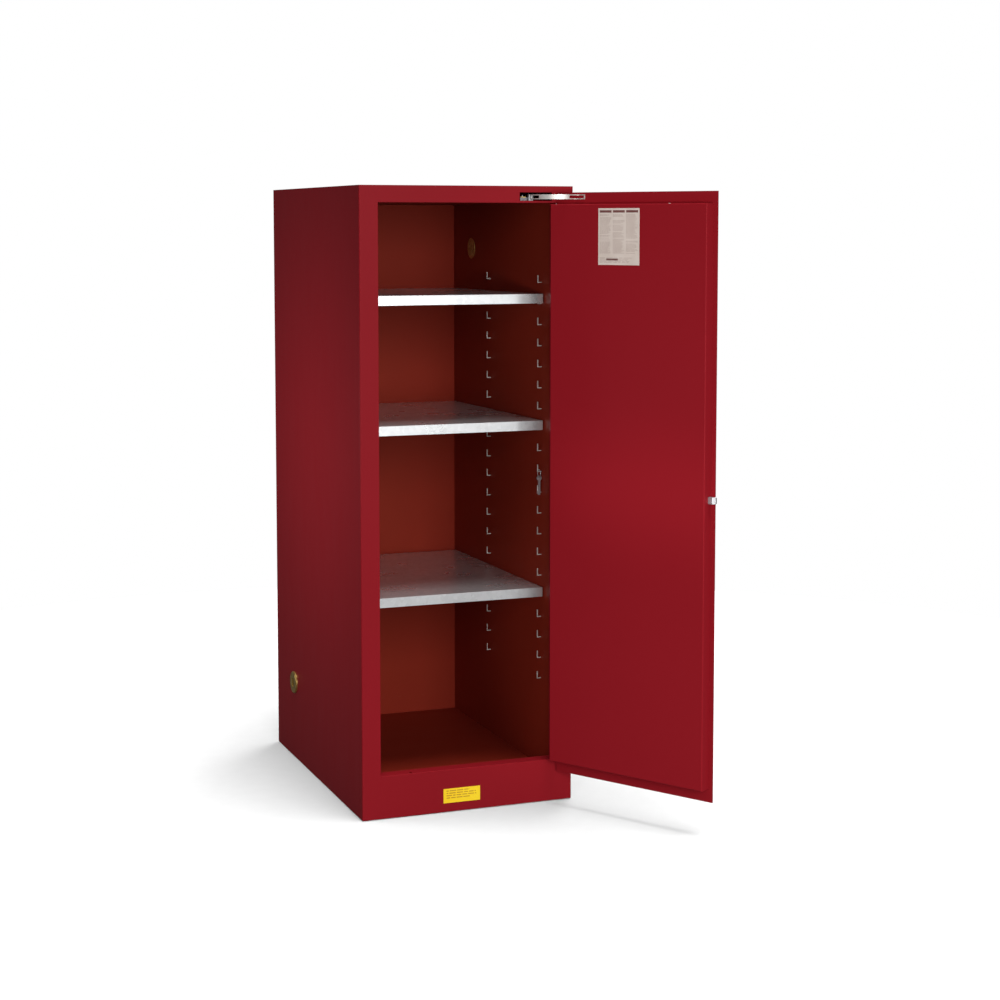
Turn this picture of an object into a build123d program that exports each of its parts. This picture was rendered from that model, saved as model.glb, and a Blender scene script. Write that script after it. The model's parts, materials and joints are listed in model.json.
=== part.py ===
from build123d import *
from math import cos, radians, sin
import os

# A one-door safety cabinet for flammable liquids: double steel walls, three lift-out shelves, a sump,
# a self-closing door with a three-point latch, two vents and levelling feet.
# Millimetres. X runs to the right along the front, Y to the rear, Z up.
# The origin is the centre of the base on the floor. The door is drawn where it stands open.

inch = 25.4

# Overall
width = 23.25 * inch
depth = 34 * inch
height = 65 * inch

# Sheet metal
sheet = 1.2
wall_gap = 1.5 * inch
corner_radius = 3.0
edge_radius = 1.0
cut_past = 1.0
rear_wrap = 20.0

# Front frame
stile_width = 2 * inch
header_height = 44.0
sill_height = 113.0
frame_depth = 38.0

# Base
ring_width = 25.0
ring_sheet = 2.0
underside_height = 22.0
sump_depth = 2 * inch
label_size = (103.0, 38.5)
label_centre = (-20.0, 42.5)
label_thickness = 0.3

# Shelves and the hooks they hang on
hook_pitch = 2.25 * inch
hook_first_height = 310.0
hook_top_margin = 200.0
hook_front_inset = 120.0
hook_spacing = 390.0
hook_reach = 12.0
hook_bar = 2.4
hook_lip = 18.0
hook_thickness = 2.5
shelf_bottom_row = 4
shelf_top_row_from_last = 1
shelf_lip = 1 * inch
shelf_fall = 5.0
shelf_side_gap = 4.0
shelf_front_inset = 100.0
shelf_rear_gap = 23.0
shelf_seat_gap = 0.1

# Vents: a threaded sleeve through both walls, with a bung outside and a flame arrester inside
vent_rear_inset = 193.6
low_vent_height = 222.0
high_vent_top_inset = 171.0
bore_radius = 26.25
sleeve_wall = 3.75
thread_gap = 0.25
cap_lap = 1.5
cap_thickness = 6.0
cap_plug_length = 14.0
cap_socket_half = 12.0
cap_socket_depth = 5.0
arrester_thickness = 4.0
arrester_hole = 2.2
arrester_rings = 3
arrester_edge = 5.25

# Earthing stud, low on the right side
stud_radius = 4.0
stud_length = 22.0
stud_height = 90.0
stud_rear_inset = 83.6
stud_head_radius = 7.2
stud_head_height = 4.8
stud_nut_radius = 8.0
stud_nut_height = 5.6

# Levelling feet
foot_inset = 62.0
foot_pad_radius = 19.0
foot_pad_height = 8.0
foot_stem_radius = 5.0
foot_stem_top = 48.0
foot_gap = 0.1
nut_radius = 9.5
nut_height = 8.0

# Hinge: one long pin, its axis just in front of the frame at the opening's right edge
open_angle = 121.2
hinge_offset = 1.75
axis_stand_off = 2.5
pin_radius = 1.2
pin_gap = 0.05
pin_overhang = 2.0
pin_head_radius = 1.9
pin_head_height = 1.5
knuckle_radius = 2.35
knuckle_count = 28
knuckle_gap = 0.6
leaf_sheet = 1.2
leaf_width = 26.0
leaf_relief = 9.0
rivet_radius = 2.0
rivet_head = 3.2
rivet_head_height = 0.8

# Door
door_thickness = 37.5
rim_thickness = 5.0
face_gap = 0.3
door_gap = 4.0
top_lap = 27.0
bottom_lap = 30.5
side_lap = 6.4
pan_start = 6.0
pan_radius = 2.5
door_label_size = (127.0, 145.0)
door_label_along = 223.5
door_label_top_inset = 131.5
stiffener_from_spindle = 195.0
stiffener_width = 60.0
stiffener_flange = 15.0
stiffener_margin = 40.0

# Latch
latch_height = 860.0
spindle_from_pan_end = 101.7
spindle_radius = 6.0
spindle_gap = 0.4
cam_radius = 15.0
cam_level = -11.0
cam_thickness = 3.0
pin_reach = 8.0
crank_pin_radius = 2.0
slot_gap = 0.6
latch_throw = 14.0
rod_radius = 4.0
rod_offset = 20.0
rod_level = -16.5
rod_proud = 1.0
rod_gap = 0.5
yoke_thickness = 4.0
yoke_height = 11.0
yoke_margin = 2.0
guide_size = 18.0
guide_height = 10.0
guide_spacing = 300.0
guide_wall = 3.0
bolt_level = -10.5
bolt_size = (12.0, 17.0)
bolt_length = 61.0
bolt_proud = 18.0
bolt_bevel = 7.0
bolt_nose = 2.5
bolt_gap = 0.8
case_margin = 14.0
case_sheet = 1.5
case_plate_half = 44.0
spring_radius = 4.5
spring_wall = 1.5
strike_sheet = 2.0
strike_margin = 18.0
strike_edge = 4.0

# Handle and lock
plate_width = 44.0
plate_thickness = 2.0
plate_above = 84.0
plate_below = 24.0
hub_radius = 13.0
lever_length = 84.0
lever_height = 20.0
lever_thickness = 10.0
lever_stand_off = 27.0
lock_above = 60.0
lock_radius = 9.0
lock_proud = 4.0
lock_depth = 10.0
tongue_length = 15.0
tongue_width = 9.0
tongue_thickness = 2.0
keyway_width = 2.0

# Closer: a curved arm on the door runs through a slot in the header into the hollow top
arm_radius = 70.0
arm_thickness = 2.0
arm_height = 12.5
arm_bottom_above_opening = 9.0
arm_sweep = 120.6
arm_foot = 25.0
arm_window_height = 7.5
arm_border = 3.0
arm_tip_window_angle = 28.0
arm_root_window_angle = 22.0
arm_root_angle = 3.0
arm_tip_angle = 2.5
arm_root = 5.0
slot_start = 11.5
slot_end = 102.5
slot_height = 22.0
slot_below_arm = 3.5
shoe_start = 160.0
shoe_end = 176.0
shoe_jaw = 4.5
shoe_gap = 0.6
shoe_ear = 24.0
shoe_ear_depth = 10.0
shoe_slot_past = 10.0
hook_pin_radius = 2.2
hook_pin_height = 6.0
hook_pin_inset = 2.0
link_length = 46.0
link_width = 14.0
link_thickness = 2.0
link_hole = 3.2
link_end = 4.2
closer_spring_length = 110.0
closer_spring_radius = 6.5
spring_hook_drop = 4.0
spring_hook_sheet = 3.0
spring_hook_half = 2.0
anchor_height = 26.0

# Keys hanging on a hook
key_rows_below_shelf = 2
ring_radius = 10.0
ring_wire = 1.1
ring_drop = 6.1
ring_forward = 4.2
key_bow_radius = 6.8
key_blade = (5.6, 39.0)
key_bit = (3.0, 9.0)
key_thickness = 2.0
key_gap = 0.7
key_hole = 2.2
key_hole_inset = 4.0

# Derived places
half_width = width / 2
half_depth = depth / 2
front = -half_depth
frame_rear = front + frame_depth
opening_half = half_width - stile_width
opening_top = height - header_height
inner_half = half_width - 2 * sheet - wall_gap
inner_rear = half_depth - 2 * sheet - wall_gap
ceiling = opening_top + sheet
sump_floor = sill_height - sump_depth
sleeve_radius = bore_radius + sleeve_wall
cap_radius = sleeve_radius + cap_lap
vent_y = half_depth - vent_rear_inset
vent_heights = {"left": low_vent_height, "right": height - high_vent_top_inset}
stud_y = half_depth - stud_rear_inset

hinge_x = opening_half + hinge_offset
hinge_y = front - axis_stand_off
door_end = hinge_x + opening_half + side_lap
pan_end = hinge_x + opening_half - door_gap
door_bottom = sill_height - bottom_lap
door_top = opening_top + top_lap
pan_bottom = sill_height + door_gap
pan_top = opening_top - door_gap
rim_back = face_gap - axis_stand_off
skin_face = rim_back + rim_thickness
pan_face = skin_face - door_thickness
skin_inside = skin_face - sheet
spindle_along = pan_end - spindle_from_pan_end
door_label_height = height - door_label_top_inset

# The door's own planes: X runs from the hinge pin to the free edge, Y to the outside, Z up
door_direction = radians(180 + open_angle)
closed = Plane(origin=(hinge_x, hinge_y, 0), x_dir=(-1, 0, 0), z_dir=(0, 0, 1))
opened = Plane(
    origin=(hinge_x, hinge_y, 0),
    x_dir=(cos(door_direction), sin(door_direction), 0),
    z_dir=(0, 0, 1),
)

TURNS = ((0, 90, 0), (90, 0, 0), (0, 0, 0))


def block(low, high, mode=Mode.ADD):
    """A box between two opposite corners."""
    middle = [(a + b) / 2 for a, b in zip(low, high)]
    size = [abs(b - a) for a, b in zip(low, high)]
    with Locations(tuple(middle)):
        Box(*size, mode=mode)


def bar(start, end, radius, mode=Mode.ADD):
    """A round bar between two points on a line parallel to X, Y or Z."""
    middle = [(a + b) / 2 for a, b in zip(start, end)]
    spans = [abs(b - a) for a, b in zip(start, end)]
    along = spans.index(max(spans))
    with Locations(tuple(middle)):
        Cylinder(radius, spans[along], rotation=TURNS[along], mode=mode)


def hole(start, end, radius):
    """A round hole from one face to another, cut a little past both."""
    spans = [b - a for a, b in zip(start, end)]
    length = max(abs(span) for span in spans)
    low = [a - cut_past * span / length for a, span in zip(start, spans)]
    high = [b + cut_past * span / length for b, span in zip(end, spans)]
    bar(low, high, radius, Mode.SUBTRACT)


def save(builder, name):
    """Labels a finished piece and writes it."""
    builder.part.label = name
    export_step(builder.part, f"parts/{name}.step")


os.makedirs("parts", exist_ok=True)

# ---------------------------------------------------------------- front frame
bolt_along = pan_end - bolt_length + bolt_proud
strike_y = hinge_y - bolt_level
strike_half = bolt_size[0] / 2 + bolt_gap
rod_y = hinge_y - rod_level
rod_places = {"top": spindle_along - rod_offset, "bottom": spindle_along + rod_offset}
hinge_bottom = pan_bottom + knuckle_gap
hinge_top = pan_top - knuckle_gap
knuckle_pitch = (hinge_top - hinge_bottom) / knuckle_count
rivet_heights = [hinge_bottom + knuckle_pitch * (i + 0.5) for i in range(0, knuckle_count, 2)]
frame_rivet_y = front + frame_depth / 2
arm_bottom = opening_top + arm_bottom_above_opening

with BuildPart() as door_frame:
    block((-half_width, front, 0), (half_width, frame_rear, height))
    fillet(door_frame.edges().filter_by(Axis.Z).group_by(Axis.Y)[0], corner_radius)
    with BuildPart(mode=Mode.SUBTRACT):
        block(
            (sheet - half_width, front + sheet, -sheet),
            (half_width - sheet, frame_rear, height - sheet),
        )
    # the ring of metal that turns back round the opening, and its side flanges out to the liner
    block(
        (-opening_half - sheet, front + sheet, sill_height - sheet),
        (opening_half + sheet, frame_rear, opening_top + sheet),
    )
    block(
        (-inner_half - sheet, frame_rear - sheet, sill_height - sheet),
        (inner_half + sheet, frame_rear, opening_top + sheet),
    )
    block(
        (-opening_half, front - sheet, sill_height),
        (opening_half, frame_rear + sheet, opening_top),
        mode=Mode.SUBTRACT,
    )
    lips = door_frame.edges().filter_by_position(Axis.Y, front, front, (True, True))
    lips = lips.filter_by(
        lambda e: abs(e.center().X) < opening_half + sheet and 0 < e.center().Z < height
    )
    fillet(lips, edge_radius)
    block(
        (hinge_x - slot_end, front - sheet, arm_bottom - slot_below_arm),
        (hinge_x - slot_start, front + 2 * sheet, arm_bottom - slot_below_arm + slot_height),
        mode=Mode.SUBTRACT,
    )
    block(
        (-opening_half - 2 * sheet, strike_y - strike_half, latch_height - bolt_size[1] / 2 - bolt_gap),
        (-opening_half + sheet, strike_y + strike_half, latch_height + bolt_size[1] / 2 + bolt_gap),
        mode=Mode.SUBTRACT,
    )
    for name, level in (("top", opening_top), ("bottom", sill_height - sheet)):
        rod_x = hinge_x - rod_places[name]
        hole((rod_x, rod_y, level), (rod_x, rod_y, level + sheet), rod_radius + rod_gap)
    for z in rivet_heights:
        hole((opening_half, frame_rivet_y, z), (opening_half + sheet, frame_rivet_y, z), rivet_radius)
save(door_frame, "door_frame")

# ---------------------------------------------------------------- outer shell
side_rear = half_depth - rear_wrap

for side, sign in (("left", -1), ("right", 1)):
    with BuildPart() as outer_side:
        block((sign * half_width, frame_rear, 0), (sign * (half_width - sheet), side_rear, height))
        vent_z = vent_heights[side]
        hole(
            (sign * (half_width - sheet), vent_y, vent_z),
            (sign * half_width, vent_y, vent_z),
            sleeve_radius,
        )
        if side == "right":
            hole(
                (half_width - sheet, stud_y, stud_height),
                (half_width, stud_y, stud_height),
                stud_radius,
            )
    save(outer_side, f"outer_{side}_side")

with BuildPart() as outer_back:
    block((-half_width, side_rear, 0), (half_width, half_depth, height))
    fillet(outer_back.edges().filter_by(Axis.Z).group_by(Axis.Y)[-1], corner_radius)
    with BuildPart(mode=Mode.SUBTRACT):
        block(
            (sheet - half_width, side_rear, -sheet),
            (half_width - sheet, half_depth - sheet, height - sheet),
        )
save(outer_back, "outer_back")

with BuildPart() as outer_top:
    block(
        (sheet - half_width, frame_rear, height - sheet),
        (half_width - sheet, side_rear, height),
    )
save(outer_top, "outer_top")

foot_places = {
    "front_left": (foot_inset - half_width, front + foot_inset),
    "front_right": (half_width - foot_inset, front + foot_inset),
    "rear_left": (foot_inset - half_width, half_depth - foot_inset),
    "rear_right": (half_width - foot_inset, half_depth - foot_inset),
}

with BuildPart() as underside:
    block(
        (sheet - half_width, front + sheet, underside_height),
        (half_width - sheet, half_depth - sheet, underside_height + ring_sheet),
    )
    for x, y in foot_places.values():
        hole(
            (x, y, underside_height),
            (x, y, underside_height + ring_sheet),
            foot_stem_radius + foot_gap,
        )
save(underside, "underside")

with BuildPart() as base_ring:
    block((sheet - half_width, front + sheet, 0), (half_width - sheet, half_depth - sheet, ring_sheet))
    block(
        (sheet + ring_width - half_width, front + sheet + ring_width, -cut_past),
        (half_width - sheet - ring_width, half_depth - sheet - ring_width, ring_sheet + cut_past),
        mode=Mode.SUBTRACT,
    )
save(base_ring, "base_ring")

with BuildPart() as foot_nuts:
    with BuildSketch(Plane.XY.offset(underside_height + ring_sheet)):
        with Locations(*foot_places.values()):
            RegularPolygon(nut_radius, 6)
            Circle(foot_stem_radius + foot_gap, mode=Mode.SUBTRACT)
    extrude(amount=nut_height)
save(foot_nuts, "foot_nuts")

for name, (x, y) in foot_places.items():
    with BuildPart() as foot:
        bar((x, y, 0), (x, y, foot_pad_height), foot_pad_radius)
        chamfer(foot.edges().sort_by(Axis.Z)[-1], foot_pad_height / 3)
        bar((x, y, foot_pad_height), (x, y, foot_stem_top), foot_stem_radius)
    save(foot, f"foot_{name}")

# ---------------------------------------------------------------- liner
for side, sign in (("left", -1), ("right", 1)):
    with BuildPart() as inner_wall:
        block(
            (sign * inner_half, frame_rear, sill_height),
            (sign * (inner_half + sheet), inner_rear, ceiling),
        )
        vent_z = vent_heights[side]
        hole(
            (sign * inner_half, vent_y, vent_z),
            (sign * (inner_half + sheet), vent_y, vent_z),
            sleeve_radius,
        )
    save(inner_wall, f"inner_{side}_wall")

with BuildPart() as inner_back_wall:
    block(
        (-inner_half - sheet, inner_rear, sill_height),
        (inner_half + sheet, inner_rear + sheet, ceiling),
    )
save(inner_back_wall, "inner_back_wall")

rod_clear = rod_y + rod_radius + 4 * rod_gap
ceiling_front = max(rod_clear, hinge_y + (arm_radius + 3 * shoe_jaw) * sin(radians(shoe_start)))

with BuildPart() as inner_ceiling:
    block(
        (-inner_half - sheet, frame_rear, ceiling),
        (inner_half + sheet, inner_rear + sheet, ceiling + sheet),
    )
    block(
        (-opening_half, ceiling_front, ceiling),
        (opening_half, frame_rear, ceiling + sheet),
    )
save(inner_ceiling, "inner_ceiling")

with BuildPart() as sump_tray:
    block(
        (-inner_half - sheet, frame_rear, sump_floor - sheet),
        (inner_half + sheet, inner_rear + sheet, sill_height),
    )
    offset(amount=-sheet, openings=sump_tray.faces().sort_by(Axis.Z)[-1])
save(sump_tray, "sump_tray")

# ---------------------------------------------------------------- hooks and shelves
hook_front_y = front + hook_front_inset
hook_rows = int((opening_top - hook_top_margin - hook_first_height) / hook_pitch) + 1
shelf_top_row = hook_rows - 1 - shelf_top_row_from_last
shelf_middle_row = round((4 * shelf_top_row + 3 * shelf_bottom_row) / 7)
shelf_rows = {
    "shelf_bottom": shelf_bottom_row,
    "shelf_middle": shelf_middle_row,
    "shelf_top": shelf_top_row,
}


def hook_top(row):
    """The height of the seat on one row of hooks."""
    return hook_first_height + row * hook_pitch


for side, sign in (("left", -1), ("right", 1)):
    with BuildPart() as hooks:
        for row in range(hook_rows):
            for column in range(2):
                y = hook_front_y + column * hook_spacing
                tip = inner_half - hook_reach
                seat = hook_top(row)
                block(
                    (sign * tip, y - hook_thickness / 2, seat - hook_bar),
                    (sign * inner_half, y + hook_thickness / 2, seat),
                )
                block(
                    (sign * tip, y - hook_thickness / 2, seat - hook_bar),
                    (sign * (tip + hook_bar), y + hook_thickness / 2, seat + hook_lip),
                )
    save(hooks, f"shelf_hooks_{side}")

shelf_half = inner_half - shelf_side_gap
shelf_front = front + shelf_front_inset
shelf_rear = inner_rear - shelf_rear_gap

for name, row in shelf_rows.items():
    seat = hook_top(row) + shelf_seat_gap
    with BuildPart() as shelf:
        with BuildSketch(Plane.YZ):
            with BuildLine():
                Polyline(
                    (shelf_front, seat),
                    (shelf_rear, seat),
                    (shelf_rear, seat + shelf_lip - shelf_fall),
                    (shelf_front, seat + shelf_lip),
                    close=True,
                )
            make_face()
        extrude(amount=shelf_half, both=True)
        offset(amount=-sheet, openings=shelf.faces().sort_by(Axis.Z)[0])
    save(shelf, name)

# ---------------------------------------------------------------- vents
sleeve_inside = inner_half - sheet
cap_plug_end = half_width - cap_plug_length
ring_step = (bore_radius - arrester_edge) / arrester_rings

for side, sign in (("left", -1), ("right", 1)):
    z = vent_heights[side]
    with BuildPart() as sleeve:
        bar((sign * sleeve_inside, vent_y, z), (sign * half_width, vent_y, z), sleeve_radius)
        hole((sign * sleeve_inside, vent_y, z), (sign * half_width, vent_y, z), bore_radius)
    save(sleeve, f"vent_sleeve_{side}")

    with BuildPart() as arrester:
        bar(
            (sign * sleeve_inside, vent_y, z),
            (sign * (sleeve_inside + arrester_thickness), vent_y, z),
            bore_radius,
        )
        with BuildSketch(Plane(origin=(sign * sleeve_inside, vent_y, z), z_dir=(sign, 0, 0))):
            for ring in range(1, arrester_rings + 1):
                with PolarLocations(ring * ring_step, 6 * ring):
                    Circle(arrester_hole)
            Circle(arrester_hole)
        extrude(amount=arrester_thickness, mode=Mode.SUBTRACT)
    save(arrester, f"flame_arrester_{side}")

    with BuildPart() as cap:
        bar((sign * half_width, vent_y, z), (sign * (half_width + cap_thickness), vent_y, z), cap_radius)
        rim = cap.edges().filter_by(GeomType.CIRCLE).sort_by(Axis.X)[0 if sign < 0 else -1]
        chamfer(rim, cap_thickness / 3)
        bar((sign * cap_plug_end, vent_y, z), (sign * half_width, vent_y, z), bore_radius - thread_gap)
        # the recess for a square key
        cap_face = half_width + cap_thickness
        block(
            (sign * (cap_face - cap_socket_depth), vent_y - cap_socket_half, z - cap_socket_half),
            (sign * (cap_face + cut_past), vent_y + cap_socket_half, z + cap_socket_half),
            mode=Mode.SUBTRACT,
        )
    save(cap, f"vent_cap_{side}")

with BuildPart() as ground_stud:
    stud_root = half_width - sheet
    bar((stud_root, stud_y, stud_height), (half_width + stud_length, stud_y, stud_height), stud_radius)
    bar(
        (stud_root - stud_head_height, stud_y, stud_height),
        (stud_root, stud_y, stud_height),
        stud_head_radius,
    )
    with BuildSketch(Plane(origin=(half_width, stud_y, stud_height), z_dir=(1, 0, 0))):
        RegularPolygon(stud_nut_radius, 6)
    extrude(amount=stud_nut_height)
save(ground_stud, "ground_stud")

with BuildPart() as base_label:
    block(
        (label_centre[0] - label_size[0] / 2, front - label_thickness, label_centre[1] - label_size[1] / 2),
        (label_centre[0] + label_size[0] / 2, front, label_centre[1] + label_size[1] / 2),
    )
save(base_label, "base_label")

# ---------------------------------------------------------------- hinge
with BuildPart(closed) as frame_leaf:
    block(
        (hinge_offset, -leaf_relief - leaf_width, hinge_bottom),
        (hinge_offset + leaf_sheet, -leaf_relief, hinge_top),
    )
    for i in range(0, knuckle_count, 2):
        low = hinge_bottom + i * knuckle_pitch
        high = low + knuckle_pitch - knuckle_gap
        block((hinge_offset, -leaf_relief, low), (hinge_offset + leaf_sheet, 0, high))
        bar((0, 0, low), (0, 0, high), knuckle_radius)
    hole((0, 0, hinge_bottom), (0, 0, hinge_top), pin_radius + pin_gap)
    rivet_level = hinge_y - frame_rivet_y
    for z in rivet_heights:
        hole((hinge_offset, rivet_level, z), (hinge_offset + leaf_sheet, rivet_level, z), rivet_radius)
save(frame_leaf, "hinge_frame_leaf")

with BuildPart(closed) as frame_rivets:
    for z in rivet_heights:
        face = hinge_offset + leaf_sheet
        bar((hinge_offset - sheet, rivet_level, z), (face, rivet_level, z), rivet_radius)
        bar((face, rivet_level, z), (face + rivet_head_height, rivet_level, z), rivet_head)
        behind = hinge_offset - sheet
        bar((behind - rivet_head_height, rivet_level, z), (behind, rivet_level, z), rivet_head)
save(frame_rivets, "hinge_frame_rivets")

with BuildPart(closed) as hinge_pin:
    bar((0, 0, hinge_bottom - pin_overhang), (0, 0, hinge_top + pin_overhang), pin_radius)
    for low in (hinge_bottom - pin_overhang, hinge_top + pin_overhang - pin_head_height):
        bar((0, 0, low), (0, 0, low + pin_head_height), pin_head_radius)
save(hinge_pin, "hinge_pin")

door_rivet_level = pan_face / 2
door_rivet_heights = [z + knuckle_pitch for z in rivet_heights]

with BuildPart(opened) as door_leaf:
    block(
        (pan_start - leaf_sheet, -leaf_width, hinge_bottom),
        (pan_start, 0, hinge_top),
    )
    for i in range(1, knuckle_count, 2):
        low = hinge_bottom + i * knuckle_pitch
        high = low + knuckle_pitch - knuckle_gap
        block((0, -leaf_sheet / 2, low), (pan_start, leaf_sheet / 2, high))
        bar((0, 0, low), (0, 0, high), knuckle_radius)
    hole((0, 0, hinge_bottom), (0, 0, hinge_top), pin_radius + pin_gap)
    for z in door_rivet_heights:
        hole(
            (pan_start - leaf_sheet, door_rivet_level, z),
            (pan_start, door_rivet_level, z),
            rivet_radius,
        )
save(door_leaf, "hinge_door_leaf")

with BuildPart(opened) as door_rivets:
    for z in door_rivet_heights:
        face = pan_start - leaf_sheet
        bar((face, door_rivet_level, z), (pan_start + sheet, door_rivet_level, z), rivet_radius)
        bar((face - rivet_head_height, door_rivet_level, z), (face, door_rivet_level, z), rivet_head)
        behind = pan_start + sheet
        bar((behind, door_rivet_level, z), (behind + rivet_head_height, door_rivet_level, z), rivet_head)
save(door_rivets, "hinge_door_rivets")

# ---------------------------------------------------------------- door
with BuildPart(opened) as door_skin:
    block((pan_start, rim_back, door_bottom), (door_end, skin_face, door_top))
    block(
        (pan_start + sheet, rim_back + sheet, door_bottom + sheet),
        (door_end - sheet, skin_inside, door_top - sheet),
        mode=Mode.SUBTRACT,
    )
    block((pan_start, rim_back, pan_bottom), (pan_end, rim_back + sheet, pan_top), mode=Mode.SUBTRACT)
    for z, radius in ((latch_height, spindle_radius), (latch_height + lock_above, lock_radius)):
        hole((spindle_along, skin_inside, z), (spindle_along, skin_face, z), radius + spindle_gap)
save(door_skin, "door_skin")

with BuildPart(opened) as door_pan:
    block((pan_start, pan_face, pan_bottom), (pan_end, rim_back + sheet, pan_top))
    pan_front = door_pan.faces().sort_by(Axis(opened.origin, opened.y_dir))[0]
    fillet(pan_front.edges(), pan_radius)
    offset(amount=-sheet, openings=door_pan.faces().sort_by(Axis(opened.origin, opened.y_dir))[-1])
    block(
        (pan_end - 3 * sheet, bolt_level - strike_half, latch_height - bolt_size[1] / 2 - bolt_gap),
        (pan_end + sheet, bolt_level + strike_half, latch_height + bolt_size[1] / 2 + bolt_gap),
        mode=Mode.SUBTRACT,
    )
    for name, level in (("top", pan_top - sheet), ("bottom", pan_bottom)):
        hole(
            (rod_places[name], rod_level, level),
            (rod_places[name], rod_level, level + sheet),
            rod_radius + rod_gap,
        )
    for z in door_rivet_heights:
        hole((pan_start, door_rivet_level, z), (pan_start + sheet, door_rivet_level, z), rivet_radius)
save(door_pan, "door_pan")

with BuildPart(opened) as stiffener:
    low, high = pan_bottom + stiffener_margin, pan_top - stiffener_margin
    start = spindle_along - stiffener_from_spindle
    end = start + stiffener_width
    deep = pan_face + sheet
    block((start, deep, low), (end, deep + sheet, high))
    for x in (start, end - sheet):
        block((x, deep, low), (x + sheet, skin_inside, high))
    block((start - stiffener_flange, skin_inside - sheet, low), (start + sheet, skin_inside, high))
    block((end - sheet, skin_inside - sheet, low), (end + stiffener_flange, skin_inside, high))
save(stiffener, "door_stiffener")

with BuildPart(opened) as door_label:
    half_along, half_up = door_label_size[0] / 2, door_label_size[1] / 2
    block(
        (door_label_along - half_along, pan_face - label_thickness, door_label_height - half_up),
        (door_label_along + half_along, pan_face, door_label_height + half_up),
    )
save(door_label, "door_label")

# ---------------------------------------------------------------- latch
case_rear = bolt_along - bolt_proud - case_margin
case_half = bolt_size[1] / 2 + bolt_gap / 2

with BuildPart(opened) as latch_case:
    block(
        (spindle_along - plate_width / 2, skin_inside - case_sheet, latch_height - case_plate_half),
        (pan_end - sheet, skin_inside, latch_height + case_plate_half),
    )
    hole(
        (spindle_along, skin_inside - case_sheet, latch_height),
        (spindle_along, skin_inside, latch_height),
        spindle_radius + spindle_gap,
    )
    case_deep = bolt_level - strike_half
    for z in (latch_height + case_half, latch_height - case_half - case_sheet):
        block((case_rear, case_deep, z), (pan_end - sheet, skin_inside - case_sheet, z + case_sheet))
    block(
        (case_rear, case_deep, latch_height - case_half),
        (case_rear + case_sheet, skin_inside - case_sheet, latch_height + case_half),
    )
save(latch_case, "latch_case")

with BuildPart(opened) as latch_bolt:
    tip = pan_end + bolt_proud
    block(
        (bolt_along, bolt_level - bolt_size[0] / 2, latch_height - bolt_size[1] / 2),
        (tip, bolt_level + bolt_size[0] / 2, latch_height + bolt_size[1] / 2),
    )
    bevel = latch_bolt.edges().filter_by(Axis.Z).sort_by(Axis(opened.origin, opened.x_dir))[-2:]
    bevel = bevel.sort_by(Axis(opened.origin, opened.y_dir))[0]
    chamfer(bevel, bolt_bevel)
    nose = latch_bolt.faces().sort_by(Axis(opened.origin, opened.x_dir))[-1]
    fillet(nose.edges().filter_by(Axis(opened.origin, opened.y_dir)), bolt_nose)
save(latch_bolt, "latch_bolt")

with BuildPart(opened) as latch_spring:
    inside = case_rear + case_sheet
    bar((inside, bolt_level, latch_height), (bolt_along, bolt_level, latch_height), spring_radius)
    hole(
        (inside, bolt_level, latch_height),
        (bolt_along, bolt_level, latch_height),
        spring_radius - spring_wall,
    )
save(latch_spring, "latch_spring")

crank_radius = latch_throw / (2 * sin(radians(45)))
crank_side = crank_radius * cos(radians(45))
pin_side = crank_pin_radius + slot_gap

for name, sign in (("top", 1), ("bottom", -1)):
    with BuildPart(opened) as rod:
        yoke_z = latch_height - sign * crank_side
        rod_x = rod_places[name]
        if name == "top":
            rod_end = pan_top + rod_proud
        else:
            rod_end = pan_bottom - rod_proud
        inner_edge = spindle_along - sign * (crank_side - pin_side - yoke_margin)
        block(
            (rod_x - sign * rod_radius, rod_level - yoke_thickness / 2, yoke_z - yoke_height / 2),
            (inner_edge, rod_level + yoke_thickness / 2, yoke_z + yoke_height / 2),
        )
        bar((rod_x, rod_level, yoke_z), (rod_x, rod_level, rod_end), rod_radius)
        block(
            (spindle_along - sign * (crank_radius + pin_side), rod_level - yoke_thickness, yoke_z - pin_side),
            (spindle_along - sign * (crank_side - pin_side), rod_level + yoke_thickness, yoke_z + pin_side),
            mode=Mode.SUBTRACT,
        )
    save(rod, f"{name}_rod")

with BuildPart(opened) as rod_guides:
    for name, direction in (("top", 1), ("bottom", -1)):
        for step in (1, 2):
            z = latch_height + direction * step * guide_spacing
            rod_x = rod_places[name]
            block(
                (rod_x - guide_size / 2, rod_level - rod_radius - guide_wall, z - guide_height / 2),
                (rod_x + guide_size / 2, skin_inside, z + guide_height / 2),
            )
            hole(
                (rod_x, rod_level, z - guide_height / 2),
                (rod_x, rod_level, z + guide_height / 2),
                rod_radius + rod_gap,
            )
save(rod_guides, "rod_guides")

strike_face = -opening_half - sheet
window_half = bolt_size[1] / 2 + bolt_gap
plate_half = bolt_size[1] / 2 + strike_margin

with BuildPart() as strike_plate:
    block(
        (strike_face - strike_sheet, front + sheet, latch_height - plate_half),
        (strike_face, strike_y + strike_half + strike_edge, latch_height + plate_half),
    )
    block(
        (strike_face - 2 * strike_sheet, strike_y - strike_half, latch_height - window_half),
        (-opening_half, strike_y + strike_half, latch_height + window_half),
        mode=Mode.SUBTRACT,
    )
save(strike_plate, "strike_plate")

# ---------------------------------------------------------------- handle and lock
plate_face = skin_face + plate_thickness

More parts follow.
